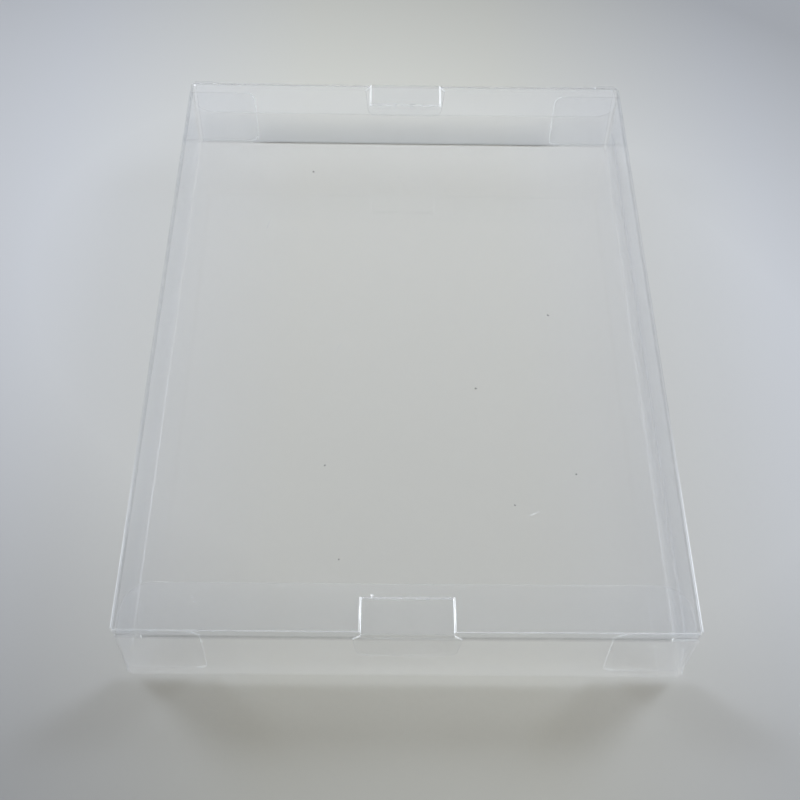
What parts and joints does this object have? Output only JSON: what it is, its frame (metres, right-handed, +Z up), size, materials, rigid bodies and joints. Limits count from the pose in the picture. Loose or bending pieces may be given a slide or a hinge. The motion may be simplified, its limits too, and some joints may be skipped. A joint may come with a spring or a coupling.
{
  "type": "game box protector",
  "caption": "Clear folded film sleeve with tuck closures and lock tabs that keeps a boxed game clean and square.",
  "frame": {"origin": "middle of the underside, on the face that it rests on", "axes": "+X across the width towards the glued seam, +Y along the length from the near closure to the far one, +Z up"},
  "size_m": [0.129, 0.1818, 0.0233],
  "materials": {
    "clear_film": "clear glossy film with bright cut edges and scored folds"
  },
  "bodies": {
    "root": {"protector": "clear_film"}
  },
  "joints": []
}
